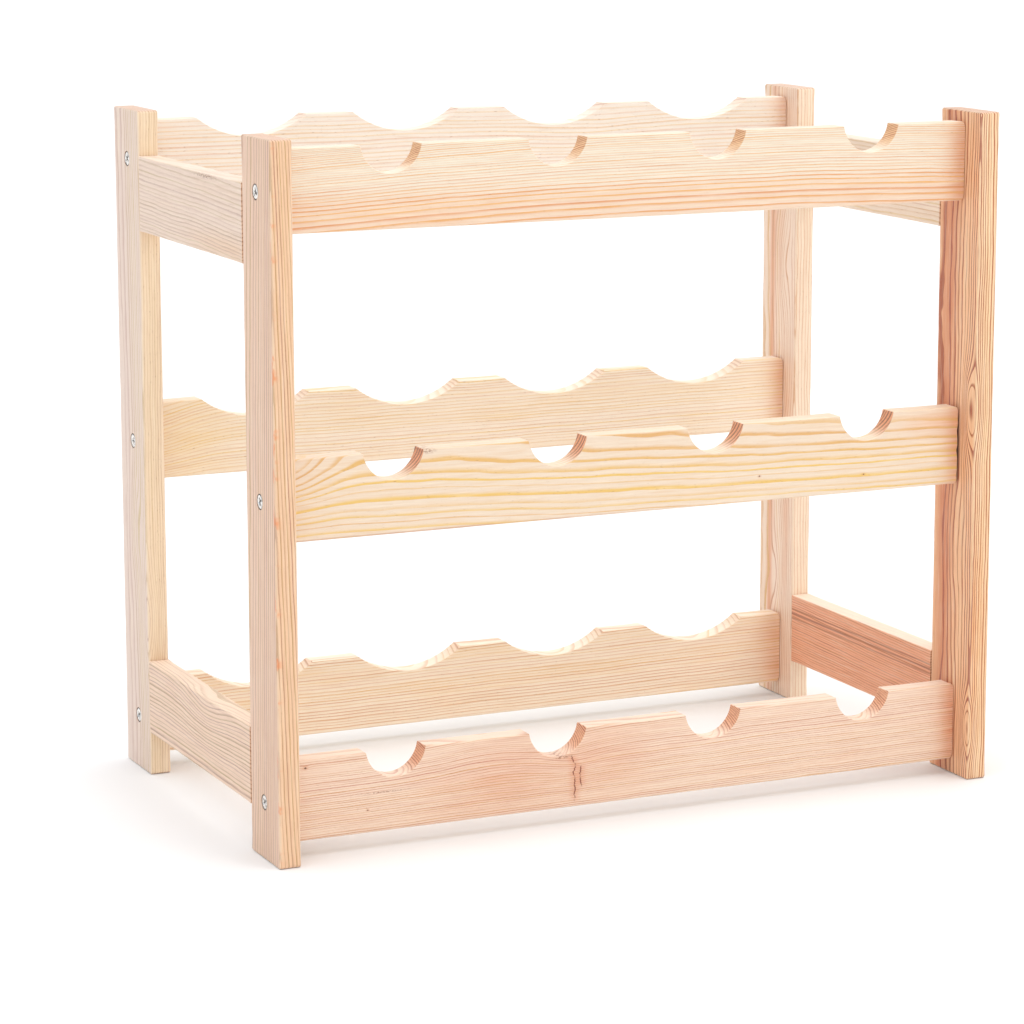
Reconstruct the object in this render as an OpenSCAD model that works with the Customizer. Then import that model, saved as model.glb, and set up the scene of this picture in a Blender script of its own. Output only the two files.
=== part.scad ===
// Table-top wine rack: two dowelled end frames joined by six notched rails.
// The origin is the middle of the footprint, on the surface that the rack stands on.
// +X runs to the right along the rails, +Y runs to the back and +Z is up.
// Bottles lie front to back: the neck in a round notch, the body in a wide scoop behind it.

/* [Overall size] */
// Width over the two end frames
rack_w = 430; // [420:1:560]
// Depth over the front and rear posts
rack_d = 250; // [230:1:300]
// Height of the posts
rack_h = 380; // [360:1:520]

/* [Boards] */
// Thickness of every board
board_t = 12; // [12:0.5:16]
// Width of the posts and of the side rails
post_w = 42; // [40:1:50]
// Height of the notched rails
rail_h = 44; // [42:1:50]
// Width of the flats planed along the long edges
ease = 0.8; // [0.4:0.1:1.2]

/* [Rail places] */
// Distance from the outer edge of a post to the middle of a rail's thickness
rail_inset = 22; // [18:0.5:24]
// Drop from the post tops to the upper edge of the top rails
top_gap = 6; // [2:1:12]
// Clearance under the bottom rails
foot_gap = 9; // [4:1:16]
// Distance from a post's end to the near edge of a side rail
side_gap = 25; // [20:1:30]

/* [Bottle places] */
// Bottles in each tier
bottles = 4; // [2:1:4]
// Distance between neighbouring bottles
pitch = 95; // [90:1:100]
// Width of the round neck notches in the front rails
notch_w = 34; // [30:1:40]
// Depth of the neck notches
notch_d = 15; // [12:0.5:15]
// Width of the wide body scoops in the rear rails
scoop_w = 66; // [56:1:76]
// Depth of the body scoops
scoop_d = 11.5; // [8:0.5:14]

/* [Screws] */
// Outer diameter of the screw thread
screw_d = 4; // [3.5:0.1:4.5]
// Diameter of the countersunk head
head_d = 8; // [7:0.1:8.4]
// Length over the head
screw_l = 50; // [40:1:60]
// Depth of the head below the face of the post
head_sink = 0.3; // [0:0.1:0.6]

/* [Dowels] */
// Diameter of the hardwood dowels
dowel_d = 6; // [5:0.5:6]
// Length of a dowel
dowel_l = 28; // [24:1:30]
// Distance between the two dowels of a side joint
dowel_spacing = 22; // [18:1:26]
// Drop from a rail's screw to the dowel under it
rail_dowel_drop = 13; // [11:1:14]
// Depth of a rail dowel in the post
rail_dowel_bite = 8; // [6:0.5:9]

/* [Hidden] */
$fn = 96;
// Extra length that carries a cut past a face
over = 1;
// Clearance across the diameter of a fastener's hole, and past its end
hole_play = 0.1;
end_play = 0.5;

inner_w = rack_w - 2 * board_t;
side_l = rack_d - 2 * post_w;
post_x = rack_w / 2 - board_t / 2;
post_y = rack_d / 2 - post_w / 2;
rail_y = rack_d / 2 - rail_inset;

top_z = rack_h - top_gap - rail_h / 2;
bottom_z = foot_gap + rail_h / 2;
middle_z = (top_z + bottom_z) / 2;
side_top_z = rack_h - side_gap - post_w / 2;
side_bottom_z = side_gap + post_w / 2;

// The head is a short rim above a 90 degree cone
head_rim = 0.3;
head_cone = (head_d - screw_d) / 2;
tip_l = 5;
recess_w = 0.9;
recess_l = 4.4;
recess_depth = 1.8;
dowel_bevel = 0.8;

pine_pale = [0.93, 0.82, 0.65];
pine_warm = [0.90, 0.74, 0.57];
pine_pink = [0.89, 0.72, 0.60];
beech = [0.80, 0.63, 0.44];
zinc = [0.72, 0.74, 0.76];

// Each row is a name and a sign or a height
SIDES = [["left", -1], ["right", 1]];
FACES = [["front", -1], ["rear", 1]];
TIERS = [["top", top_z], ["middle", middle_z], ["bottom", bottom_z]];
LEVELS = [["top", side_top_z], ["bottom", side_bottom_z]];

// Radius of the arc that is w wide and d deep
function arc_radius(w, d) = (w * w / 4 + d * d) / (2 * d);

// A board's section in the XY plane, with its four edges eased
module board_section(w, t) {
    x = w / 2;
    y = t / 2;
    polygon([
        [-x + ease, -y], [x - ease, -y], [x, -y + ease], [x, y - ease],
        [x - ease, y], [-x + ease, y], [-x, y - ease], [-x, -y + ease]
    ]);
}

// A rod along +X that starts at the origin
module rod_x(d, l) {
    rotate([0, 90, 0])
        cylinder(d = d, h = l);
}

// A hole across one face of a board, centred on the face and going l deep each way
module hole_y(d, l) {
    rotate([90, 0, 0])
        cylinder(d = d, h = 2 * l, center = true);
}

// The hole for a screw that enters at the origin and runs along +X
module screw_hole() {
    d = screw_d + hole_play;
    mouth_d = head_d + hole_play;
    seat_l = (mouth_d - d) / 2;
    rod_x(d, board_t + over);
    translate([-over, 0, 0])
        rod_x(mouth_d, over + head_sink + head_rim);
    translate([head_sink + head_rim, 0, 0])
        rotate([0, 90, 0])
            cylinder(d1 = mouth_d, d2 = d, h = seat_l);
}

// One countersunk screw with its head's top at the origin, running along +X
module screw() {
    r = screw_d / 2;
    difference() {
        rotate([0, 90, 0])
            rotate_extrude()
                polygon([
                    [0, 0], [head_d / 2, 0], [head_d / 2, head_rim],
                    [r, head_rim + head_cone], [r, screw_l - tip_l], [0, screw_l]
                ]);
        for (turn = [0, 90])
            rotate([turn, 0, 0])
                translate([(recess_depth - over) / 2, 0, 0])
                    cube([recess_depth + over, recess_w, recess_l], center = true);
    }
}

// One dowel along +X that starts at the origin, with bevelled ends
module dowel() {
    r = dowel_d / 2;
    rotate([0, 90, 0])
        rotate_extrude()
            polygon([
                [0, 0], [r - dowel_bevel, 0], [r, dowel_bevel],
                [r, dowel_l - dowel_bevel], [r - dowel_bevel, dowel_l], [0, dowel_l]
            ]);
}

// A post: screw holes from its outer face, dowel holes in its inner face and inner edge
module post(face, side) {
    hole_d = dowel_d + hole_play;
    edge_depth = dowel_l / 2 + end_play;
    color(face < 0 ? pine_warm : pine_pink)
        difference() {
            translate([side * post_x, face * post_y, 0])
                linear_extrude(rack_h)
                    board_section(board_t, post_w);
            for (t = TIERS)
                translate([side * rack_w / 2, face * rail_y, t[1]])
                    rotate([0, 0, side > 0 ? 180 : 0])
                        screw_hole();
            for (t = TIERS)
                translate([side * inner_w / 2, face * rail_y, t[1] - rail_dowel_drop])
                    rotate([0, 0, side > 0 ? 0 : 180])
                        rod_x(hole_d, rail_dowel_bite + end_play);
            for (v = LEVELS, k = [-1, 1])
                translate([side * post_x, face * side_l / 2, v[1] + k * dowel_spacing / 2])
                    hole_y(hole_d, edge_depth);
        }
}

// A notched rail: round cuts in its upper edge, a screw hole and a dowel hole in each end
module rail(face, z, cut_w, cut_d) {
    r = arc_radius(cut_w, cut_d);
    rail_dowel_depth = dowel_l - rail_dowel_bite + end_play;
    screw_depth = screw_l + head_sink - board_t + end_play;
    color(pine_pale)
        translate([0, face * rail_y, z])
            difference() {
                rotate([90, 0, 90])
                    linear_extrude(inner_w, center = true)
                        board_section(board_t, rail_h);
                for (i = [0 : bottles - 1])
                    translate([(i - (bottles - 1) / 2) * pitch, 0, rail_h / 2 - cut_d + r])
                        rotate([90, 0, 0])
                            cylinder(r = r, h = board_t + 2 * over, center = true);
                for (turn = [0, 180])
                    rotate([0, 0, turn])
                        translate([-inner_w / 2, 0, 0]) {
                            rod_x(screw_d + hole_play, screw_depth);
                            translate([0, 0, -rail_dowel_drop])
                                rod_x(dowel_d + hole_play, rail_dowel_depth);
                        }
            }
}

// A plain side rail with two dowel holes in each end
module side_rail(side, z) {
    color(pine_pink)
        translate([side * post_x, 0, z])
            difference() {
                rotate([90, 90, 0])
                    linear_extrude(side_l, center = true)
                        board_section(post_w, board_t);
                for (e = [-1, 1], k = [-1, 1])
                    translate([0, e * side_l / 2, k * dowel_spacing / 2])
                        hole_y(dowel_d + hole_play, dowel_l / 2 + end_play);
            }
}

// The three screws that go through one post
module post_screws(face, side) {
    color(zinc)
        for (t = TIERS)
            translate([side * (rack_w / 2 - head_sink), face * rail_y, t[1]])
                rotate([0, 0, side > 0 ? 180 : 0])
                    screw();
}

// The two dowels that stop one notched rail from turning on its screws
module rail_dowels(face, z) {
    color(beech)
        for (turn = [0, 180])
            translate([0, face * rail_y, z - rail_dowel_drop])
                rotate([0, 0, turn])
                    translate([-inner_w / 2 - rail_dowel_bite, 0, 0])
                        dowel();
}

// The four dowels of one side rail, two in each end
module side_dowels(side, z) {
    color(beech)
        for (e = [-1, 1], k = [-1, 1])
            translate([side * post_x, e * side_l / 2 - dowel_l / 2, z + k * dowel_spacing / 2])
                rotate([0, 0, 90])
                    dowel();
}

for (f = FACES, s = SIDES)
    post(f[1], s[1]);
for (t = TIERS)
    rail(-1, t[1], notch_w, notch_d);
for (t = TIERS)
    rail(1, t[1], scoop_w, scoop_d);
for (s = SIDES, v = LEVELS)
    side_rail(s[1], v[1]);
for (f = FACES, s = SIDES)
    post_screws(f[1], s[1]);
for (f = FACES, t = TIERS)
    rail_dowels(f[1], t[1]);
for (s = SIDES, v = LEVELS)
    side_dowels(s[1], v[1]);
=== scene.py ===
"""Looks of a pine wine rack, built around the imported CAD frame.

Every board is rebuilt with eased edges, sawn ends and real holes, and has its own solid pine:
growth rings around a pith line, so the figure runs through the board from face to end grain.
Lengths are metres, except in the timber descriptions, which are millimetres.
"""

import math
import random
from dataclasses import dataclass

import bmesh
import bpy
from mathutils import Matrix, Vector, noise


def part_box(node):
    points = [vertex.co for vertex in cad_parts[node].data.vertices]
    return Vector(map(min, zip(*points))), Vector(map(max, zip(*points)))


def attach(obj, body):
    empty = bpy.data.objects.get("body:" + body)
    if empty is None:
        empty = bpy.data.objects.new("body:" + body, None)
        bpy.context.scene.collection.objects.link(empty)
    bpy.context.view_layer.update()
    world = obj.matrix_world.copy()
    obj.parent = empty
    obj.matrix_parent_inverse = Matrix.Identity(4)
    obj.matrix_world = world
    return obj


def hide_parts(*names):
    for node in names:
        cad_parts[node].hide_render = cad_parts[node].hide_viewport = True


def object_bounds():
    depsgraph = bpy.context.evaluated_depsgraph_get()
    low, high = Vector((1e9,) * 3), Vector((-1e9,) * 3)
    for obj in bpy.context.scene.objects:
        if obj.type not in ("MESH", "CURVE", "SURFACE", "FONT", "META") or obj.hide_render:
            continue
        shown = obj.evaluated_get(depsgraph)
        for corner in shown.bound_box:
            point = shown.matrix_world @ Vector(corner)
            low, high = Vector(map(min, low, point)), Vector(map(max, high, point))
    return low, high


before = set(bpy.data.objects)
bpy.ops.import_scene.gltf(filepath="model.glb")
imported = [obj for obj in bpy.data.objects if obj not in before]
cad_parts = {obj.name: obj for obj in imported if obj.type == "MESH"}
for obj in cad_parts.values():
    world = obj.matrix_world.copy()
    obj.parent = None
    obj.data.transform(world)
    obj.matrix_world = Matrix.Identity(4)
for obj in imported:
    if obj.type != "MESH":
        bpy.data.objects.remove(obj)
CAD_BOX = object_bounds()
MM = 0.001

# ---------------------------------------------------------------- sizes that the frame doesn't give
BOTTLES = 4
PITCH = 95 * MM
NOTCH = (34 * MM, 15 * MM)      # width and depth of a neck notch
SCOOP = (66 * MM, 11.5 * MM)    # width and depth of a body scoop
EASE = 0.9 * MM                 # radius sanded on the long edges of the rails
POST_EASE = 1.3 * MM            # the posts' edges are handled more and are rounder
CUT_EASE = 0.45 * MM            # radius on sawn ends and in the cuts
CORNER = 0.8 * MM               # radius of the corners where two edges meet
POST_CORNER = 1.5 * MM
END_CORNER = 2.4 * MM           # radius of the corners at a notched rail's two ends
END_STEP = 2.7 * MM
ARC_STEP = 1.2 * MM
EDGE_STEP = 9 * MM
LOW_WAVE = 0.12 * MM            # how far the long edges stray from straight
TOP_WAVE = 0.10 * MM
FADE_DEPTH = 6.0                # millimetres: swells, tints and painted shade lie in a board's -X or -Y half

SCREW_L = 50 * MM
HEAD_R = 3.95 * MM
SHANK_R = 1.45 * MM
CORE_R = 1.3 * MM
THREAD_R = 2.0 * MM
THREAD_PITCH = 1.8 * MM
SCREW_HOLE_R = 2.05 * MM
HEAD_SINK = 0.3 * MM
SINK_PLAY = 0.35 * MM
HEAD_RISE = 0.28 * MM           # the heads are this much nearer to the face than in the CAD
HEAD_SKEW = 0.025               # how far a head leans, as a slope
RIM_ROUND = 0.5 * MM            # worn round at a head's edge; painted dark there, standing in for a dark reflection
BITE_END = 39 * MM              # a rail's screw hole ends this far in from the rail's end
HOLE_RUN = 1 * MM               # a hole's cutter starts this far outside the wood

DOWEL_L = 28 * MM
DOWEL_R = 3 * MM
DOWEL_PLAY = 0.05 * MM
DOWEL_END_PLAY = 0.5 * MM
FLUTES = 18

SIDES = ("left", "right")
FACES = ("front", "rear")
TIERS = ("top", "middle", "bottom")
LEVELS = ("top", "bottom")
X, Y, Z = 0, 1, 2

# Each board's place in the noise is its number times one of these; the screws turn by chance
SHAPE_SEED = 11.7
GRAIN_SEED = 3.1
SCREW_SEED = 7


# ---------------------------------------------------------------- mesh helpers
def finish_mesh(bm, name):
    """Turns bm into an object with outward normals."""
    bmesh.ops.recalc_face_normals(bm, faces=bm.faces)
    mesh = bpy.data.meshes.new(name)
    bm.to_mesh(mesh)
    bm.free()
    obj = bpy.data.objects.new(name, mesh)
    bpy.context.scene.collection.objects.link(obj)
    return obj


def shade(obj, sharp_degrees=35):
    """Smooth shading that keeps flat faces flat and hard edges hard."""
    mesh = obj.data
    mesh.shade_smooth()
    mesh.set_sharp_from_angle(angle=math.radians(sharp_degrees))
    weighted = obj.modifiers.new("weighted_normals", "WEIGHTED_NORMAL")
    weighted.keep_sharp = True


def cut(obj, cutter):
    """Takes cutter out of obj and applies the result."""
    boolean = obj.modifiers.new("cut", "BOOLEAN")
    boolean.operation = "DIFFERENCE"
    boolean.solver = "EXACT"
    boolean.object = cutter
    depsgraph = bpy.context.evaluated_depsgraph_get()
    mesh = bpy.data.meshes.new_from_object(obj.evaluated_get(depsgraph))
    obj.modifiers.clear()
    obj.data = mesh
    bpy.data.objects.remove(cutter)


def lathe(bm, profile, place, segments, ripple=None):
    """A turned solid: profile is (distance along X, radius) from tip to tip, radius 0 at both ends."""
    rings = []
    for x, r in profile:
        if r == 0:
            rings.append([bm.verts.new(place @ Vector((x, 0, 0)))])
            continue
        ring = []
        for i in range(segments):
            angle = 2 * math.pi * i / segments
            rr = r + (ripple(x, angle) if ripple else 0)
            ring.append(bm.verts.new(place @ Vector((x, rr * math.cos(angle), rr * math.sin(angle)))))
        rings.append(ring)
    for a, b in zip(rings, rings[1:]):
        for i in range(segments):
            j = (i + 1) % segments
            if len(a) == 1:
                bm.faces.new((a[0], b[j], b[i]))
            elif len(b) == 1:
                bm.faces.new((a[i], a[j], b[0]))
            else:
                bm.faces.new((a[i], a[j], b[j], b[i]))


# ---------------------------------------------------------------- boards
@dataclass
class Board:
    """A board's place: its axes as (length, width, thickness), its centre and its size."""
    node: str
    axes: tuple
    centre: Vector
    length: float
    width: float
    thick: float

    def point(self, a, b, c):
        """World point from distances along length, width and thickness."""
        p = self.centre.copy()
        for axis, value in zip(self.axes, (a, b, c)):
            p[axis] += value
        return p


def board_of(node):
    low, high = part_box(node)
    if node.startswith("post"):
        axes = (Z, Y, X)
    elif node.startswith("side"):
        axes = (Y, Z, X)
    else:
        axes = (X, Z, Y)
    size = high - low
    return Board(node, axes, (low + high) / 2, *(size[axis] for axis in axes))


def arc(x, top, width, depth):
    """Points of a round cut in a top edge, from its right end to its left end."""
    radius = (width * width / 4 + depth * depth) / (2 * depth)
    centre = top - depth + radius
    half = math.asin(min(1, width / 2 / radius))
    if depth > radius:
        half = math.pi - half
    steps = max(8, round(2 * half * radius / ARC_STEP))
    points = []
    for i in range(steps + 1):
        angle = half - 2 * half * i / steps
        points.append((x + radius * math.sin(angle), centre - radius * math.cos(angle)))
    return points


def rounded(path):
    """Replaces each corner of a closed path of (a, b, ease, corner radius) by a small round."""
    out = []
    count = len(path)
    for i, (a, b, ease, corner) in enumerate(path):
        if corner == 0:
            out.append((a, b, ease))
            continue
        here = Vector((a, b))
        before = Vector(path[i - 1][:2]) - here
        after = Vector(path[(i + 1) % count][:2]) - here
        half = before.angle(after) / 2
        reach = min(corner / math.tan(half), 0.9 * before.length, 0.9 * after.length)
        start = here + before.normalized() * reach
        end = here + after.normalized() * reach
        steps = 8 if corner > CORNER else 4
        for k in range(steps + 1):
            t = k / steps
            weights = ((1 - t) ** 2, 2 * math.sin(half) * t * (1 - t), t * t)
            p = (start * weights[0] + here * weights[1] + end * weights[2]) / sum(weights)
            out.append((p.x, p.y, min(ease, 0.55 * corner)))
    return out


def edge_points(start, end, step, ease, wobble, seed, corners=None):
    """Points along a straight edge, with the slight unevenness of planing and hand sanding.

    corners gives the radius at the start and at the end. Without it the end points are left out.
    """
    start, end = Vector(start), Vector(end)
    along = (end - start)
    side = Vector((along.y, -along.x)).normalized()
    count = max(1, round(along.length / step))
    scale = 0.8 / step
    points = []
    for i in range(count + 1):
        at_end = i in (0, count)
        if at_end and not corners:
            continue
        p = start + along * i / count
        ripple = noise.noise(Vector((p.x * scale, p.y * scale, seed)))
        if not at_end:
            p -= side * wobble * (0.5 + 0.5 * ripple)
        grow = 1 + 0.35 * noise.noise(Vector((p.x * 90, p.y * 90, seed + 7.3)))
        corner = corners[0 if i == 0 else 1] if at_end else 0
        points.append((p.x, p.y, ease * grow, corner))
    return points


def outline(board, cuts, gaps, rags, seed):
    """The board's closed outline in its length and width plane."""
    ease, end_ease, end_corner = EASE, CUT_EASE, END_CORNER if cuts else CORNER
    if board.node.startswith("post"):
        ease, end_ease, end_corner = POST_EASE, EASE, POST_CORNER
    left = -board.length / 2 + gaps[0]
    right = board.length / 2 - gaps[1]
    low = -board.width / 2
    high = board.width / 2
    both = (end_corner, end_corner)
    path = edge_points((left, low), (right, low), EDGE_STEP, ease, LOW_WAVE, seed, both)
    path += edge_points((right, low), (right, high), END_STEP, end_ease, rags[1], seed + 1)
    x = right
    corner = end_corner
    for centre in sorted((c[0] for c in cuts), reverse=True):
        width, depth = cuts[0][1:]
        points = arc(centre, high, width, depth)
        corners = (corner, CORNER)
        path += edge_points((x, high), points[0], EDGE_STEP, ease, TOP_WAVE, seed + 2, corners)
        path += [(a, b, CUT_EASE, 0) for a, b in points[1:-1]]
        x = points[-1][0]
        corner = CORNER
    corners = (corner, end_corner)
    path += edge_points((x, high), (left, high), EDGE_STEP, ease, TOP_WAVE, seed + 3, corners)
    path += edge_points((left, high), (left, low), END_STEP, end_ease, rags[0], seed + 4)
    return rounded(path)


def board_mesh(board, cuts=(), gaps=(0, 0), rags=(0, 0), seed=0.0):
    """The outline carried through the thickness, with its edges rolled over on both faces."""
    bm = bmesh.new()
    eased = bm.verts.layers.float.new("eased")
    points = outline(board, cuts, gaps, rags, seed)
    count = len(points)
    inward = []
    for i in range(count):
        before = Vector(points[i - 1][:2])
        after = Vector(points[(i + 1) % count][:2])
        along = (after - before).normalized()
        inward.append(Vector((-along.y, along.x)))
    steps = 4
    rings = []
    turns = [(k / steps, 1) for k in range(steps, -1, -1)] + [(k / steps, -1) for k in range(steps + 1)]
    for turn, sign in turns:
        angle = turn * math.pi / 2
        ring = []
        for (a, b, ease), n in zip(points, inward):
            inset = ease * (1 - math.cos(angle))
            depth = board.thick / 2 - ease * (1 - math.sin(angle))
            vert = bm.verts.new(board.point(a + n.x * inset, b + n.y * inset, sign * depth))
            vert[eased] = math.sin(2 * angle)
            ring.append(vert)
        rings.append(ring)
    bm.faces.new(rings[0])
    bm.faces.new(rings[-1])
    for r0, r1 in zip(rings, rings[1:]):
        for i in range(count):
            j = (i + 1) % count
            bm.faces.new((r0[i], r0[j], r1[j], r1[i]))
    return finish_mesh(bm, board.node + "_board")


# ---------------------------------------------------------------- holes
def along(direction, start):
    """A placement whose X axis runs along direction from start."""
    turn = Vector((1, 0, 0)).rotation_difference(Vector(direction)).to_matrix().to_4x4()
    return Matrix.Translation(start) @ turn


def bore(bm, start, direction, length, radius):
    lathe(bm, [(-HOLE_RUN, 0), (-HOLE_RUN, radius), (length, radius), (length, 0)],
          along(direction, start), 32)


def screw_bore(bm, start, direction, length):
    """A countersunk through hole, a little wider than the head so that a thin shadow shows round it."""
    mouth = HEAD_R + SINK_PLAY
    rim = HEAD_SINK + 0.4 * MM
    throat = rim + mouth - SCREW_HOLE_R
    lathe(bm, [(-HOLE_RUN, 0), (-HOLE_RUN, mouth), (rim, mouth), (throat, SCREW_HOLE_R),
               (length, SCREW_HOLE_R), (length, 0)], along(direction, start), 48)


def middle(node):
    low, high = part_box(node)
    return (low + high) / 2


def post_holes(board, face, side):
    sign = -1 if side == "left" else 1
    outer = board.centre.x + sign * board.thick / 2
    inner = board.centre.x - sign * board.thick / 2
    bm = bmesh.new()
    for tier in TIERS:
        rail = middle(f"rail_{face}_{tier}")
        screw_bore(bm, Vector((outer, rail.y, rail.z)), (-sign, 0, 0), board.thick + HOLE_RUN)
        dowel = middle(f"rail_dowels_{face}_{tier}")
        tip = abs(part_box(f"rail_dowels_{face}_{tier}")[1].x)
        bore(bm, Vector((inner, dowel.y, dowel.z)), (sign, 0, 0),
             tip - abs(inner) + DOWEL_END_PLAY, DOWEL_R + DOWEL_PLAY)
    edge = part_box(f"side_rail_{side}_top")[1].y
    inward = 1 if face == "rear" else -1
    for level in LEVELS:
        low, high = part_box(f"side_dowels_{side}_{level}")
        for z in (low.z + DOWEL_R, high.z - DOWEL_R):
            bore(bm, Vector((board.centre.x, inward * edge, z)), (0, inward, 0),
                 DOWEL_L / 2 + DOWEL_END_PLAY, DOWEL_R + DOWEL_PLAY)
    return finish_mesh(bm, "holes")


def rail_holes(board, face, tier):
    dowel = middle(f"rail_dowels_{face}_{tier}")
    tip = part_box(f"rail_dowels_{face}_{tier}")[1].x
    bm = bmesh.new()
    for sign in (-1, 1):
        end = sign * board.length / 2
        bore(bm, Vector((end, board.centre.y, board.centre.z)), (-sign, 0, 0), BITE_END, SCREW_HOLE_R)
        bore(bm, Vector((end, dowel.y, dowel.z)), (-sign, 0, 0),
             DOWEL_L - (tip - abs(end)) + DOWEL_END_PLAY, DOWEL_R + DOWEL_PLAY)
    return finish_mesh(bm, "holes")


def side_holes(board, side, level):
    low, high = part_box(f"side_dowels_{side}_{level}")
    bm = bmesh.new()
    for sign in (-1, 1):
        for z in (low.z + DOWEL_R, high.z - DOWEL_R):
            bore(bm, Vector((board.centre.x, sign * board.length / 2, z)), (0, -sign, 0),
                 DOWEL_L / 2 + DOWEL_END_PLAY, DOWEL_R + DOWEL_PLAY)
    return finish_mesh(bm, "holes")


# ---------------------------------------------------------------- screws and dowels
def cross(bm, x, length, width):
    """A plus-shaped ring of points at x."""
    h, w = length / 2, width / 2
    corners = [(h, -w), (h, w), (w, w), (w, h), (-w, h), (-w, w),
               (-h, w), (-h, -w), (-w, -w), (-w, -h), (w, -h), (w, -w)]
    return [bm.verts.new((x, y, z)) for y, z in corners]


def screw_prototype():
    """A countersunk cross-head wood screw along +X, its head's top at the origin."""
    rim = 0.4 * MM
    cone_end = rim + HEAD_R - SHANK_R
    thread_start = 17 * MM
    thread_full = 19 * MM
    tip_start = SCREW_L - 6 * MM

    def ripple(x, angle):
        if x < thread_start:
            return 0
        phase = (x / THREAD_PITCH - angle / (2 * math.pi)) % 1
        ridge = max(0, 1 - abs(phase - 0.5) / 0.22) ** 0.8
        height = THREAD_R - CORE_R
        height *= min(1, (x - thread_start) / (thread_full - thread_start))
        height *= max(0.0, min(1, (SCREW_L - x) / (SCREW_L - tip_start)))
        return height * ridge

    profile = [(0, 0), (0, HEAD_R - RIM_ROUND), (0.08 * MM, HEAD_R - RIM_ROUND / 2),
               (0.3 * MM, HEAD_R), (rim, HEAD_R), (cone_end, SHANK_R), (thread_start, SHANK_R)]
    step = THREAD_PITCH / 8
    for i in range(1, int((SCREW_L - thread_start) / step)):
        x = thread_start + i * step
        taper = min(1, max(0.0, (SCREW_L - x) / (SCREW_L - tip_start)))
        profile.append((x, CORE_R * max(0.08, taper)))
    profile.append((SCREW_L, 0))
    bm = bmesh.new()
    lathe(bm, profile, Matrix.Identity(4), 24, ripple)
    screw = finish_mesh(bm, "screw_prototype")
    bm = bmesh.new()
    top = cross(bm, -0.2 * MM, 5.3 * MM, 1.45 * MM)
    floor = cross(bm, 1.9 * MM, 1.4 * MM, 0.6 * MM)
    bm.faces.new(top)
    bm.faces.new(floor)
    for i in range(len(top)):
        j = (i + 1) % len(top)
        bm.faces.new((top[i], top[j], floor[j], floor[i]))
    cut(screw, finish_mesh(bm, "recess"))
    # Painted shade: the cross recess and the cone under the head are darkened where shade falls, and the
    # rounded rim is painted dark as a reflection
    recess_rim_shade = screw.data.attributes.new("recess_rim_shade", "FLOAT", "POINT")
    for vert, value in zip(screw.data.vertices, recess_rim_shade.data):
        depth = vert.co.x / MM
        inner = min(1, max(0, depth / 0.9)) * min(1, max(0, 3.2 - depth))
        outward = math.hypot(vert.co.y, vert.co.z) - (HEAD_R - RIM_ROUND)
        edge = min(1, max(0, outward / RIM_ROUND))
        value.value = max(inner, edge)
    return screw


def post_screws(prototype, face, side, rng):
    node = f"screws_{face}_{side}"
    low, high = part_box(node)
    facing = 1 if side == "left" else -1
    skew_end = 4 * MM
    bm = bmesh.new()
    for tier in TIERS:
        rail = middle(f"rail_{face}_{tier}")
        outer = low.x if side == "left" else high.x
        head = Vector((outer - facing * HEAD_RISE, rail.y, rail.z))
        turn = rng.uniform(0, math.pi / 2)
        lean = rng.uniform(0, 2 * math.pi)
        copy = prototype.data.copy()
        for vert in copy.vertices:
            x, y, z = vert.co
            fade = max(0, 1 - max(0, x) / skew_end)
            rise = y * math.cos(lean) + z * math.sin(lean) - HEAD_R
            vert.co.x -= HEAD_SKEW * fade * rise
        copy.transform(along((facing, 0, 0), head) @ Matrix.Rotation(turn, 4, "X"))
        bm.from_mesh(copy)
        bpy.data.meshes.remove(copy)
    return finish_mesh(bm, f"wood_{node}")


def dowels(node, axis, starts):
    """Fluted dowels with bevelled ends."""
    bevel = 0.8 * MM

    def ripple(x, angle):
        groove = max(0, math.cos(FLUTES * angle)) ** 4
        return -0.22 * MM * groove if bevel < x < DOWEL_L - bevel else 0

    inner = 1.2 * bevel
    half = [(0, 0), (0, DOWEL_R - bevel), (bevel, DOWEL_R), (inner, DOWEL_R)]
    profile = half + [(DOWEL_L - x, r) for x, r in reversed(half)]
    bm = bmesh.new()
    for start in starts:
        lathe(bm, profile, along(axis, start), FLUTES * 6, ripple)
    return finish_mesh(bm, f"fluted_{node}")


def rail_dowels(face, tier):
    node = f"rail_dowels_{face}_{tier}"
    low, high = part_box(node)
    mid = (low + high) / 2
    starts = [Vector((low.x, mid.y, mid.z)), Vector((high.x - DOWEL_L, mid.y, mid.z))]
    return node, dowels(node, (1, 0, 0), starts)


def side_dowels(side, level):
    node = f"side_dowels_{side}_{level}"
    low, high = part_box(node)
    x = (low.x + high.x) / 2
    starts = [Vector((x, y, z))
              for y in (low.y, high.y - DOWEL_L)
              for z in (low.z + DOWEL_R, high.z - DOWEL_R)]
    return node, dowels(node, (0, 1, 0), starts)


# ---------------------------------------------------------------- shader arithmetic
class Value:
    """A shader socket that can be added, multiplied and so on."""

    def __init__(self, graph, socket):
        self.graph = graph
        self.socket = socket

    def __add__(self, other):
        return self.graph.math("ADD", self, other)

    def __sub__(self, other):
        return self.graph.math("SUBTRACT", self, other)

    def __rsub__(self, other):
        return self.graph.math("SUBTRACT", other, self)

    def __mul__(self, other):
        return self.graph.math("MULTIPLY", self, other)

    def __truediv__(self, other):
        return self.graph.math("DIVIDE", self, other)

    __radd__ = __add__
    __rmul__ = __mul__


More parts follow.
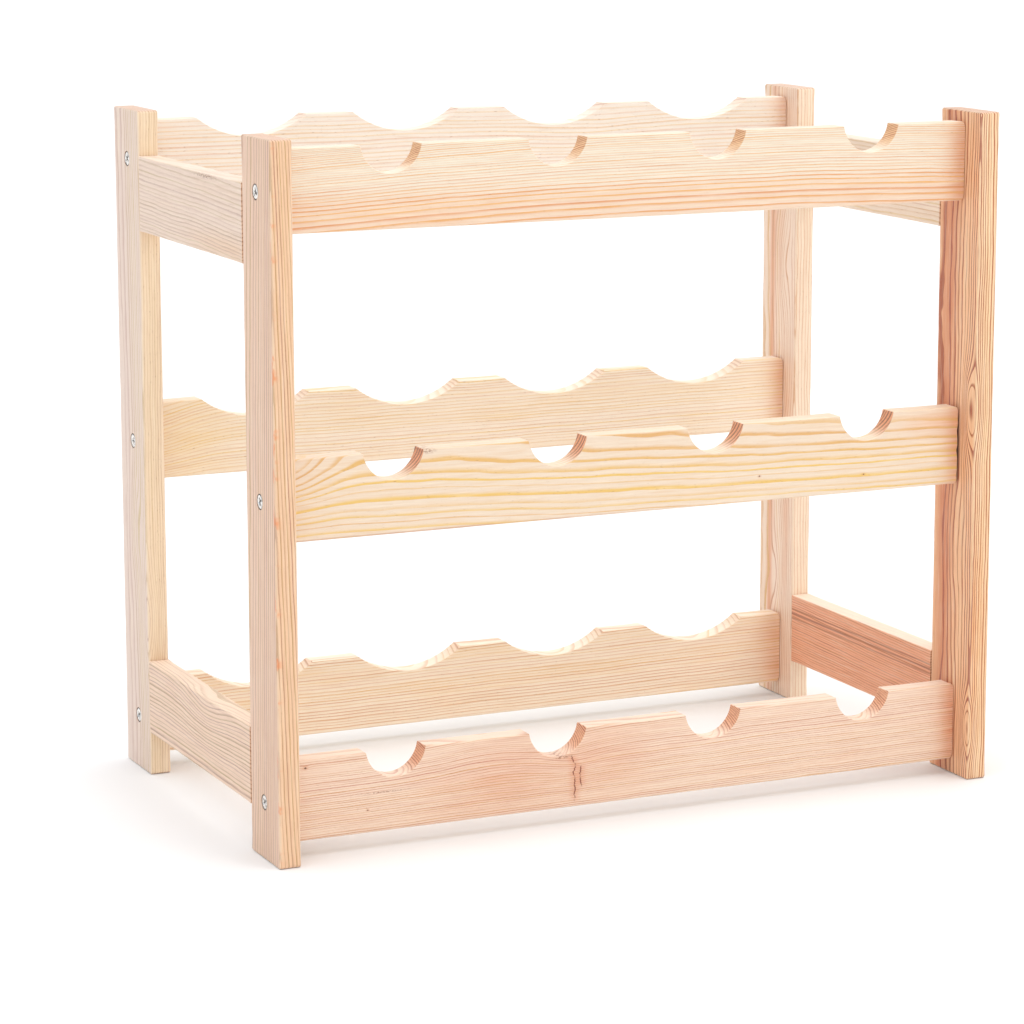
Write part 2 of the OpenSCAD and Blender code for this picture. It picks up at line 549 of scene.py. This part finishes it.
class Graph:
    """Writes the nodes of a material or a world from expressions."""

    def __init__(self, owner):
        owner.use_nodes = True
        self.owner = owner
        self.tree = owner.node_tree
        self.shader = next(node for node in self.tree.nodes if node.outputs)

    def plug(self, socket, value):
        if isinstance(value, Value):
            self.tree.links.new(value.socket, socket)
        else:
            socket.default_value = value

    def math(self, operation, *values):
        node = self.tree.nodes.new("ShaderNodeMath")
        node.operation = operation
        for socket, value in zip(node.inputs, values):
            self.plug(socket, value)
        return Value(self, node.outputs[0])

    def step(self, value, low, high, out_low=0.0, out_high=1.0):
        """A smooth rise from out_low at low to out_high at high."""
        node = self.tree.nodes.new("ShaderNodeMapRange")
        node.interpolation_type = "SMOOTHSTEP"
        for socket, v in zip(node.inputs, (value, low, high, out_low, out_high)):
            self.plug(socket, v)
        return Value(self, node.outputs[0])

    def mix(self, amount, first, second, blend="MIX"):
        """A mix of two colours, each a socket or an (r, g, b)."""
        node = self.tree.nodes.new("ShaderNodeMix")
        node.data_type = "RGBA"
        node.blend_type = blend
        node.clamp_factor = True
        self.plug(node.inputs[0], amount)
        self.plug(node.inputs[6], first)
        self.plug(node.inputs[7], second)
        return Value(self, node.outputs[2])

    def coordinates(self, output):
        """Object-space X, Y and Z of the surface point or of its normal."""
        source = self.tree.nodes.new("ShaderNodeTexCoord")
        split = self.tree.nodes.new("ShaderNodeSeparateXYZ")
        self.tree.links.new(source.outputs[output], split.inputs[0])
        return [Value(self, s) for s in split.outputs]

    def attribute(self, name):
        node = self.tree.nodes.new("ShaderNodeAttribute")
        node.attribute_name = name
        return Value(self, node.outputs["Fac"])

    def noise(self, x, y, z, detail=2.0, roughness=0.5):
        """Noise between about 0 and 1, one feature per unit."""
        place = self.tree.nodes.new("ShaderNodeCombineXYZ")
        for socket, value in zip(place.inputs, (x, y, z)):
            self.plug(socket, value)
        node = self.tree.nodes.new("ShaderNodeTexNoise")
        self.tree.links.new(place.outputs[0], node.inputs["Vector"])
        node.inputs["Scale"].default_value = 1
        node.inputs["Detail"].default_value = detail
        node.inputs["Roughness"].default_value = roughness
        return Value(self, node.outputs[0])

    def random(self, value):
        """A random number that changes with each new whole value."""
        node = self.tree.nodes.new("ShaderNodeTexWhiteNoise")
        node.noise_dimensions = "1D"
        self.plug(node.inputs["W"], value)
        return Value(self, node.outputs[0])

    def bell(self, value, centre, half_width):
        """1 at the centre, falling to nothing about two half widths away."""
        off = (value - centre) / half_width
        return self.math("EXPONENT", off * off * -1.0)

    def bump(self, height, distance):
        node = self.tree.nodes.new("ShaderNodeBump")
        node.inputs["Strength"].default_value = 1
        node.inputs["Distance"].default_value = distance
        self.plug(node.inputs["Height"], height)
        self.tree.links.new(node.outputs[0], self.shader.inputs["Normal"])

    def set(self, socket, value):
        self.plug(self.shader.inputs[socket], value)


def rgb(red, green, blue):
    """A colour from 0 to 255 display values, in the linear light that shaders use."""
    def linear(c):
        c /= 255
        return c / 12.92 if c <= 0.04045 else ((c + 0.055) / 1.055) ** 2.4
    return (linear(red), linear(green), linear(blue), 1.0)


# ---------------------------------------------------------------- pine
@dataclass
class Timber:
    """What one board was sawn from. Millimetres; places are (along, across) from its middle."""
    early: tuple                # colour of the soft spring wood
    late: tuple                 # colour of the hard summer lines
    sawn: tuple = (228, 176, 134)       # colour of the sawn ends and of the cuts' steep walls
    sawn_late: tuple = (176, 108, 68)
    ring: float = 2.0           # middle distance between rings
    pith: tuple = (0, -60)      # where the tree's middle lies, (through thickness, across width)
    tilt: tuple = (0, 0)        # how far the pith drifts over one millimetre of length
    bow: float = 0.0            # how far the grain bends across the width, from the middle to an end
    growth: float = 0.0         # above 0, rings close up away from the pith
    contrast: float = 1.0
    blush_lines: float = 1.25   # how much stronger the lines are in the second tint
    planed: float = 0.25        # how much paler the narrow faces are
    sway: float = 1.5           # slow bend of the grain
    wobble: float = 0.8         # quick bend of the grain
    blush: tuple = (222, 176, 136)
    blush_from: float = 100     # across the width, where the second tint starts and is full
    blush_to: float = 120
    patches: float = 0.25       # how strongly the second tint wanders over the board
    swells: tuple = ()          # bent rings: (along, across, half length, half width, height)
    stains_and_shade: tuple = ()          # tints, and painted shade at the joints: (along, across, half length, half width, colour, strength)
    pins: tuple = ()            # pin knots: (along, across, radius)
    scuffs: tuple = ()          # torn grain: (along, across, half length, half width)
    checks: tuple = ()          # cracks across the grain: (along, low, high)
    flecks: float = 0.0         # resin flecks along the front outer edge


def growth_rings(g, t, l, u, v, near_front, seed):
    """Summer wood from 0 to 1, with a slow start and a sharp end, and each ring's own chance tint.

    l, u and v are millimetres along, through and across the board. Swells keep to near_front.
    """
    sway = (g.noise(l / 130.0, seed, 0.0, 1.0) - 0.5) * (2 * t.sway)
    du = u - t.pith[0] - l * t.tilt[0] + sway * 0.5
    dv = v - t.pith[1] - l * t.tilt[1] + l * l * (t.bow / 40000.0) + sway
    radius = g.math("SQRT", du * du + dv * dv)
    s = radius - math.hypot(*t.pith)
    s = s + (g.noise(l / 34.0, u / 16.0, v / 13.0 + seed, 2.0) - 0.5) * (2 * t.wobble)
    for at, across, half_length, half_width, height in t.swells:
        s = s + g.bell(l, at, half_length) * g.bell(v, across, half_width) * near_front * height
    for at, across, size in t.pins:
        s = s + g.bell(l, at, 5 * size) * g.bell(v, across, 2.5 * size) * (1.2 * size)
    count = (s + s * s * (t.growth / 40.0)) / t.ring
    count = count + (g.noise(s / 7.0, seed + 3.0, 0.5, 1.0) - 0.5) * 1.6
    whole = g.math("FLOOR", count)
    part = count - whole
    chance = g.random(whole + (seed + 0.5))
    spread = g.random(whole + (seed + 40.5))
    late = g.step(part, spread * 0.4 + 0.30, 0.90) * g.step(part, 0.93, 1.0, 1.0, 0.0)
    fade = g.noise(l / 48.0, count * 0.7, seed, 1.0)
    late = late * (chance * 0.7 + 0.55) * (fade * 1.1 + 0.45)
    return late, g.random(whole + (seed + 80.5))


def small_faults(g, t, board, colour, l, u, v, seed):
    """Pin knots, torn grain, cracks and resin flecks over the plain wood."""
    for at, across, size in t.pins:
        dl = (l - at) / 1.5
        dw = v - across
        away = g.math("SQRT", dl * dl + dw * dw)
        colour = g.mix(g.step(away, size * 1.2, size * 2.6, 0.35, 0.0), colour, rgb(212, 146, 98))
        colour = g.mix(g.step(away, size * 0.5, size, 0.92, 0.0), colour, rgb(92, 50, 30))
    for at, across, half_length, half_width in t.scuffs:
        where = g.bell(l, at, half_length) * g.bell(v, across, half_width)
        torn = g.step(g.noise(l / 2.4, u, v * 1.6 + seed, 3.0, 0.7), 0.44, 0.56)
        colour = g.mix(where * torn * 0.9, colour, rgb(132, 68, 30))
    for at, low, high in t.checks:
        path = (g.noise(v / 9.0, seed + 9.0, at * 0.3, 4.0, 0.65) - 0.5) * 9.0
        off = g.math("ABSOLUTE", l - at - path)
        inside = g.step(v, low, low + 3.0) * g.step(v, high - 3.0, high, 1.0, 0.0)
        gape = g.step(g.noise(v / 2.6, seed, 4.0, 2.0), 0.30, 0.52)
        halo = g.step(off, 0.0, 5.0, 0.35, 0.0) * inside
        colour = g.mix(halo, colour, rgb(212, 126, 82))
        colour = g.mix(g.step(off, 0.15, 0.55, 0.9, 0.0) * inside * gape, colour, rgb(116, 40, 14))
    if t.flecks:
        near = g.bell(v, -board.width / 2 / MM, 1.6) * g.bell(u, -board.thick / 2 / MM, 2.2)
        dash = g.step(g.noise(l / 15.0, seed + 5.0, v / 3.0, 3.0, 0.6), 0.52, 0.64)
        colour = g.mix(near * dash * t.flecks, colour, rgb(232, 134, 78))
    return colour


def countersink_shade(g, board, colour, l, v):
    """Darkens the wood inside the mouths of a post's screw holes: painted shade in the thin gap round
    each head.
    """
    face = board.node.split("_")[1]
    mouth = (HEAD_R + SINK_PLAY) / MM
    for tier in TIERS:
        rail = middle(f"rail_{face}_{tier}")
        dl = l - (rail.z - board.centre.z) / MM
        dw = v - (rail.y - board.centre.y) / MM
        away = g.math("SQRT", dl * dl + dw * dw)
        inside = g.step(away, mouth - 0.02, mouth + 0.10, 0.4, 0.0)
        colour = g.mix(inside, colour, rgb(84, 60, 48))
    return colour


def wood(name, board, t, seed):
    """Solid pine for one board."""
    g = Graph(bpy.data.materials.new(name))
    points = g.coordinates("Object")
    normals = g.coordinates("Normal")
    length_axis, width_axis, thick_axis = board.axes
    l = (points[length_axis] - board.centre[length_axis]) * 1000.0
    v = (points[width_axis] - board.centre[width_axis]) * 1000.0
    u = (points[thick_axis] - board.centre[thick_axis]) * 1000.0
    near_front = g.bell(u, -FADE_DEPTH, FADE_DEPTH * 1.4)
    late, tint = growth_rings(g, t, l, u, v, near_front, seed)

    # colour
    patch = g.noise(l / 75.0, u / 24.0 + seed, v / 9.0, 2.0)
    second = g.step(v, t.blush_from, t.blush_to)
    colour = g.mix(second + g.step(patch, 0.5, 0.75) * t.patches, rgb(*t.early), rgb(*t.blush))
    # tints; those at a rail's right end and in the joint gaps are painted shade
    for at, across, half_length, half_width, stain_and_shade, strength in t.stains_and_shade:
        where = g.bell(l, at, half_length) * g.bell(v, across, half_width) * near_front
        colour = g.mix(where * (patch + late * 0.6 + 0.3) * strength, colour, rgb(*stain_and_shade))
    red, green, blue = t.late
    summer = g.mix(tint, rgb(red + 10, green + 16, blue - 12), rgb(red - 4, green - 10, blue - 4))
    lines = second * (t.blush_lines - 1) + 1
    colour = g.mix(late * lines * (t.contrast * 0.85), colour, summer)
    streak = g.noise(l / 30.0, u * 0.8, v * 0.8 + seed, 2.0)
    colour = g.mix(g.step(streak, 0.50, 0.75) * 0.22, colour, rgb(*t.late))
    colour = g.mix(g.step(streak, 0.50, 0.25) * 0.22, colour, rgb(254, 240, 216))
    fibre = g.noise(l / 9.0, u * 2.2, v * 2.2 + seed, 3.0, 0.65)
    colour = g.mix(g.step(fibre, 0.45, 0.80) * 0.22, colour, rgb(*t.late))
    colour = g.mix(g.step(fibre, 0.45, 0.20) * 0.20, colour, rgb(252, 238, 216))
    canals = g.step(g.noise(l / 2.6, u * 2.6 + seed, v * 2.6, 1.0), 0.66, 0.74)
    colour = g.mix(canals * (late * 0.45 + 0.12), colour, rgb(160, 104, 66))

    # end grain is darker, warmer and rough from the saw
    facing = g.math("ABSOLUTE", normals[length_axis])
    end = g.step(facing, 0.25, 0.9)
    tone = g.mix(late * 1.7, rgb(*t.sawn), rgb(*t.sawn_late))
    colour = g.mix(end * 0.85, colour, tone)
    saw = g.noise(l * 0.6, u * 0.25, v * 2.2 + seed, 2.0)
    colour = g.mix(end * g.step(saw, 0.45, 0.7) * 0.3, colour, rgb(*t.sawn_late))

    # planed narrow faces are paler; sanded edges are paler partly as raw wood and partly as a painted
    # highlight where the arrises catch light
    narrow = g.step(g.math("ABSOLUTE", normals[width_axis]), 0.7, 0.95)
    colour = g.mix(narrow * t.planed, colour, rgb(252, 236, 214))
    eased = g.attribute("eased")
    colour = g.mix(eased * 0.25, colour, rgb(246, 224, 194))

    colour = small_faults(g, t, board, colour, l, u, v, seed)
    # painted shade in the mouths of the posts' screw holes
    if board.node.startswith("post"):
        colour = countersink_shade(g, board, colour, l, v)
    g.set("Base Color", colour)
    g.set("Roughness", late * -0.10 + end * 0.18 + fibre * 0.10 + 0.52)
    g.set("Specular IOR Level", 0.5)
    g.set("Sheen Weight", 0.25)
    g.set("Sheen Roughness", 0.5)
    planer = g.noise(l / 1.7, seed, v / 40.0, 0.0) * 0.10
    relief = late * 0.55 + fibre * 0.55 - canals * 0.45 + planer + end * saw * 1.6
    g.bump(relief, 0.09 * MM)
    return g.owner


def beech(name):
    """Raw beech for the dowels: pale brown with short dark rays."""
    g = Graph(bpy.data.materials.new(name))
    x, y, z = [p * 1000.0 for p in g.coordinates("Object")]
    grain = g.noise(x / 7.0, y / 7.0, z * 1.6, 3.0, 0.6)
    rays = g.step(g.noise(x / 1.6, y / 1.6, z * 2.4, 1.0), 0.62, 0.72)
    colour = g.mix(grain, rgb(224, 186, 142), rgb(198, 150, 104))
    colour = g.mix(rays * 0.5, colour, rgb(160, 108, 70))
    g.set("Base Color", colour)
    g.set("Roughness", grain * 0.15 + 0.55)
    g.bump(grain - rays * 0.4, 0.06 * MM)
    return g.owner


def zinc(name):
    """Bright zinc plate: fine drawn scratches and dull spots."""
    g = Graph(bpy.data.materials.new(name))
    x, y, z = [p * 1000.0 for p in g.coordinates("Object")]
    cloud = g.noise(x / 1.5, y / 1.5, z / 1.5, 3.0, 0.6)
    scratch = g.noise(x * 1.2, y * 9.0, z * 1.5, 2.0, 0.6)
    colour = g.mix(g.step(cloud, 0.40, 0.70), rgb(246, 242, 236), rgb(168, 166, 164))
    colour = g.mix(g.step(cloud, 0.60, 0.72) * 0.5, colour, rgb(120, 112, 100))
    # painted shade in the cross recess and on the cone, and a painted dark reflection on the rounded rim
    colour = g.mix(g.attribute("recess_rim_shade") * 0.95, colour, rgb(24, 22, 22))
    g.set("Base Color", colour)
    g.set("Metallic", 1.0)
    g.set("Roughness", cloud * 0.16 + scratch * 0.10 + 0.16)
    g.bump(scratch, 0.02 * MM)
    return g.owner


# Where a rail meets a right post its end is painted darker and oranger: painted shade, with painted light
# thrown back from the post
JOINT_SHADE = (232, 146, 92)

# The posts' sawn ends have greyed
GREYED = {"sawn": (228, 196, 172), "sawn_late": (196, 150, 122)}

# One entry for each board
TIMBERS = {
    "post_front_left": Timber(
        (231, 192, 163), (186, 138, 108), **GREYED,
        ring=1.47, pith=(80, 40), tilt=(0.0, -0.045), contrast=1.45, blush_lines=0.8, planed=0.0,
        sway=0.9, wobble=0.4, blush=(236, 196, 158), blush_from=-19.5, blush_to=-21, patches=0.2,
        flecks=0.9),
    "post_front_right": Timber(
        (248, 196, 148), (166, 72, 26), sawn=(228, 196, 172), sawn_late=(186, 132, 98),
        ring=1.3, pith=(60, 22), tilt=(-0.004, 0.01), contrast=1.4, blush_lines=1.1, planed=0.0,
        sway=1.4, wobble=0.85, blush=(244, 208, 164), blush_from=-20, blush_to=-21, patches=0.5,
        swells=((24, -14.5, 25, 7, 6.0), (-160, -17.5, 17, 6, 4.5), (-60, -2, 40, 7, 1.5)),
        stains_and_shade=((0, 10, 400, 9, (206, 112, 62), 1.0), (-110, -21, 60, 1.6, (238, 172, 112), 0.8),
                # the dark mark at 1.5 along is painted shadow in the gap where the middle rail's front
                # edge meets the post
                (1.5, -2.8, 17, 1.2, (40, 22, 14), 1.6))),
    "post_rear_left": Timber(
        (231, 205, 188), (200, 162, 134), **GREYED,
        ring=1.4, pith=(70, 25), tilt=(0.0, 0.015), contrast=1.2, blush_lines=0.6, planed=0.0,
        sway=1.6, wobble=0.8, blush=(243, 219, 188), blush_from=-19.5, blush_to=-21, patches=0.3,
        swells=((-100, -18, 24, 8, 5.0), (-50, -4, 30, 10, 3.0))),
    "post_rear_right": Timber(
        (248, 220, 196), (214, 158, 118), **GREYED,
        ring=1.5, pith=(46, 26), tilt=(0.003, -0.01), contrast=1.2, blush_lines=0.8, planed=0.0,
        sway=1.4, wobble=0.9, blush=(244, 224, 200), blush_from=-20, blush_to=-21, patches=0.4,
        swells=((-40, -8, 30, 8, 4.0), (80, -6, 26, 8, 3.6), (-115, -1, 22, 8, -3.0),
                (135, 0, 20, 7, -2.4)),
        stains_and_shade=((0, 8, 400, 3, (226, 148, 92), 1.0), (-60, -12, 60, 4, (228, 160, 112), 0.6),
                (120, 2, 70, 9, (232, 176, 136), 0.6))),
    # The tints near a rail's right end, from 190 to 203 along, are painted shade from the post it meets
    "rail_front_top": Timber(
        (235, 223, 203), (222, 160, 112), sawn=(240, 190, 130), sawn_late=(184, 102, 54),
        ring=1.65, pith=(-26, -72), tilt=(0.0, 0.012), bow=4.5, contrast=0.9, blush_lines=1.6,
        growth=0.65, sway=1.0, wobble=0.6, blush=(234, 208, 184), blush_from=2, blush_to=-10, patches=0.2,
        stains_and_shade=((203, -6, 10, 40, JOINT_SHADE, 0.75), (-130, -14, 40, 7, (238, 196, 158), 0.4))),
    "rail_front_middle": Timber(
        (233, 213, 191), (222, 176, 116), sawn=(230, 150, 98), sawn_late=(128, 62, 36), contrast=1.25,
        ring=2.7, pith=(36, 34), tilt=(-0.03, 0.0),
        sway=1.6, wobble=0.9, blush=(234, 204, 172), patches=0.3,
        swells=((-206, 22, 26, 24, -13.0), (-60, 20, 30, 6, 1.5)),
        stains_and_shade=((203, 0, 9, 60, JOINT_SHADE, 0.8), (190, 14, 24, 8, JOINT_SHADE, 0.4),
                # the dark band at 203.2 along is painted shadow in the gap at the rail's right end
                (203.2, 0, 1.0, 60, (70, 40, 26), 1.1), (-110, -21.8, 110, 0.7, (178, 98, 62), 1.3)),
        pins=((75, -8, 0.45), (141, -12, 0.4)), scuffs=((-123, 21, 3.5, 1.2),)),
    "rail_front_bottom": Timber(
        (240, 213, 191), (202, 142, 112), sawn=(234, 168, 122), sawn_late=(168, 84, 50),
        ring=1.15, pith=(20, -88), tilt=(0.0, 0.008), contrast=1.1,
        sway=1.5, wobble=0.9, blush=(238, 198, 170), patches=0.4,
        swells=((-88, 12, 34, 14, -3.5), (-38, 10, 16, 14, 2.5)),
        stains_and_shade=((-75, -2, 42, 24, (224, 164, 132), 0.6), (-18, 4, 26, 20, (228, 172, 140), 0.5),
                (203, 0, 9, 60, JOINT_SHADE, 0.75)),
        pins=((-194, 17.5, 0.6), (-159, -9.5, 0.4)), checks=((-38, -20, 8), (-34, -12, 2)),
        scuffs=((-148, -0.5, 12, 0.4), (-45, 6.6, 4.5, 0.8))),
    "rail_rear_top": Timber(
        (244, 234, 222), (228, 188, 148), ring=2.3, pith=(-20, -80), contrast=0.7, sway=1.5, wobble=0.7,
        blush=(242, 220, 192), patches=0.3, swells=((70, 6, 40, 14, 3.0),),
        stains_and_shade=((203, 0, 10, 60, JOINT_SHADE, 0.5),)),
    "rail_rear_middle": Timber(
        (246, 231, 211), (224, 182, 138), ring=1.9, pith=(10, -85), contrast=1.0, sway=1.5, wobble=0.7,
        blush=(242, 214, 174), patches=0.35, swells=((-212, 4, 34, 28, 10.0),),
        stains_and_shade=((203, 0, 10, 60, JOINT_SHADE, 0.6), (-185, 0, 30, 40, (242, 214, 166), 0.6))),
    "rail_rear_bottom": Timber(
        (249, 232, 209), (223, 176, 130), ring=1.8, pith=(14, -90), tilt=(0.0, 0.01), contrast=1.05,
        sway=1.2, wobble=0.6, blush=(246, 214, 172), patches=0.4,
        stains_and_shade=((203, -6, 14, 40, JOINT_SHADE, 0.7),)),
    "side_rail_left_top": Timber(
        (234, 207, 186), (192, 156, 128), ring=2.0, pith=(24, -64), tilt=(0.0, 0.03), growth=-0.35,
        contrast=0.9, sway=2.0, wobble=1.0, blush=(234, 200, 168), patches=0.3,
        stains_and_shade=((-60, -16, 50, 6, (232, 184, 138), 0.6),), scuffs=((-28, 19.5, 15, 1.0),)),
    "side_rail_left_bottom": Timber(
        (239, 204, 176), (180, 136, 106), ring=1.9, pith=(30, 58), growth=-0.2, contrast=1.2,
        sway=1.6, wobble=0.9, blush=(234, 194, 164), patches=0.3, swells=((-12, 14, 34, 17, -5.5),)),
    "side_rail_right_top": Timber(
        (236, 214, 192), (208, 166, 132), ring=2.4, pith=(-30, -60), contrast=0.8, sway=2.5, wobble=1.0,
        blush=(234, 202, 170), patches=0.3),
    "side_rail_right_bottom": Timber(
        (244, 174, 134), (184, 102, 66), ring=1.5, pith=(-16, 74), tilt=(0.0, 0.03), contrast=1.1,
        planed=0.7, sway=1.6, wobble=0.8, blush=(236, 160, 120), patches=0.4,
        stains_and_shade=((0, 12.5, 400, 0.5, (150, 80, 52), 0.9), (0, 9.6, 400, 0.7, (150, 80, 52), 1.0),
                (0, 6.8, 400, 0.5, (150, 80, 52), 0.8))),
}

# Gaps at a board's two ends and how ragged the sawn ends are, in millimetres
ENDS = {
    "rail_front_top": ((0.10, 0.22), (0.05, 0.12)),
    "rail_front_middle": ((0.12, 0.45), (0.05, 1.60)),
    "rail_front_bottom": ((0.10, 0.18), (0.05, 0.10)),
    "rail_rear_top": ((0.12, 0.12), (0.05, 0.08)),
    "rail_rear_middle": ((0.12, 0.15), (0.05, 0.08)),
    "rail_rear_bottom": ((0.12, 0.15), (0.05, 0.10)),
    "side_rail_left_top": ((0.55, 0.10), (0.35, 0.05)),
    "side_rail_left_bottom": ((0.50, 0.10), (0.25, 0.05)),
    "side_rail_right_top": ((0.20, 0.10), (0.10, 0.05)),
    "side_rail_right_bottom": ((0.45, 0.10), (0.40, 0.05)),
}


# ---------------------------------------------------------------- building the pieces
def settle(piece, node, material):
    """Gives a piece its material and its place in the frame."""
    piece.data.materials.clear()
    piece.data.materials.append(material)
    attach(piece, "root")
    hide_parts(node)


def make_board(node, index):
    board = board_of(node)
    words = node.split("_")
    cuts = []
    if node.startswith("rail"):
        width, depth = NOTCH if "front" in words else SCOOP
        cuts = [((i - (BOTTLES - 1) / 2) * PITCH, width, depth) for i in range(BOTTLES)]
        holes = rail_holes(board, *words[1:])
    elif node.startswith("side"):
        holes = side_holes(board, *words[2:])
    else:
        holes = post_holes(board, *words[1:])
    gaps, rags = ENDS.get(node, ((0, 0), (0, 0)))
    gaps = [gap * MM for gap in gaps]
    rags = [rag * MM for rag in rags]
    piece = board_mesh(board, cuts, gaps, rags, SHAPE_SEED * index)
    cut(piece, holes)
    shade(piece)
    settle(piece, node, wood(node + "_pine", board, TIMBERS[node], GRAIN_SEED * index))


def make_fasteners():
    rng = random.Random(SCREW_SEED)
    plated = zinc("zinc_plate")
    prototype = screw_prototype()
    for face in FACES:
        for side in SIDES:
            piece = post_screws(prototype, face, side, rng)
            shade(piece, 30)
            settle(piece, f"screws_{face}_{side}", plated)
    bpy.data.objects.remove(prototype)
    raw = beech("raw_beech")
    sets = [rail_dowels(face, tier) for face in FACES for tier in TIERS]
    sets += [side_dowels(side, level) for side in SIDES for level in LEVELS]
    for node, piece in sets:
        shade(piece, 50)
        settle(piece, node, raw)


# ---------------------------------------------------------------- stage, light and camera
def make_stage():
    g = Graph(bpy.data.materials.new("studio_floor"))
    x, y, z = g.coordinates("Object")
    haze = g.noise(x * 3.0, y * 3.0, z, 2.0)
    g.set("Base Color", g.mix(haze, (0.85, 0.85, 0.85, 1), (0.87, 0.87, 0.87, 1)))
    g.set("Roughness", 0.9)
    g.set("Specular IOR Level", 0.1)
    bm = bmesh.new()
    bmesh.ops.create_grid(bm, x_segments=8, y_segments=8, size=20)
    floor = finish_mesh(bm, "floor")
    floor.location.z = -0.1 * MM
    floor.data.materials.append(g.owner)


def area_light(name, place, target, size, power, colour):
    light = bpy.data.lights.new(name, "AREA")
    light.shape = "DISK"
    light.size = size
    light.energy = power
    light.color = colour
    obj = bpy.data.objects.new(name, light)
    obj.location = place
    obj.rotation_euler = (Vector(target) - Vector(place)).to_track_quat("-Z", "Y").to_euler()
    bpy.context.scene.collection.objects.link(obj)


def make_lights():
    """A white room: brightest overhead, warm towards the front, cooler and dimmer on the left."""
    world = bpy.data.worlds.new("studio")
    bpy.context.scene.world = world
    g = Graph(world)
    x, y, z = g.coordinates("Generated")
    sky = g.mix(g.step(y, 0.6, -0.6), (0.78, 0.78, 0.80, 1), (0.72, 0.66, 0.60, 1))
    sky = g.mix(g.step(x, 0.2, -0.8), sky, (0.40, 0.52, 0.68, 1))
    sky = g.mix(g.step(z, 0.30, 0.90), sky, (2.10, 2.10, 2.10, 1))
    sky = g.mix(g.step(z, 0.05, 0.18), (0.92, 0.92, 0.92, 1), sky)
    g.set("Color", sky)
    g.set("Strength", 0.87)
    area_light("key", (1.5, -2.4, 2.0), (0, 0, 0.2), 1.6, 15, (1.0, 0.94, 0.86))


def make_camera():
    """The photograph's view: from the front left, a little above."""
    azimuth = math.radians(25.1)
    elevation = math.radians(10.3)
    distance = 2.0
    low, high = CAD_BOX
    aim_height = 0.457 * (high[Z] - low[Z])
    aim = Vector((0, 0, aim_height))
    towards = Vector((math.sin(azimuth) * math.cos(elevation),
                      math.cos(azimuth) * math.cos(elevation),
                      -math.sin(elevation)))
    data = bpy.data.cameras.new("camera")
    data.sensor_width = 36
    data.lens = 123.5
    data.shift_x = -0.039
    data.shift_y = -0.039
    data.clip_end = 100
    camera = bpy.data.objects.new("camera", data)
    camera.location = aim - towards * distance
    camera.rotation_euler = towards.to_track_quat("-Z", "Y").to_euler()
    bpy.context.scene.collection.objects.link(camera)
    bpy.context.scene.camera = camera


make_camera()
make_stage()
make_lights()
for index, node in enumerate(sorted(TIMBERS)):
    make_board(node, index)
make_fasteners()
bpy.context.scene.view_settings.view_transform = "Standard"
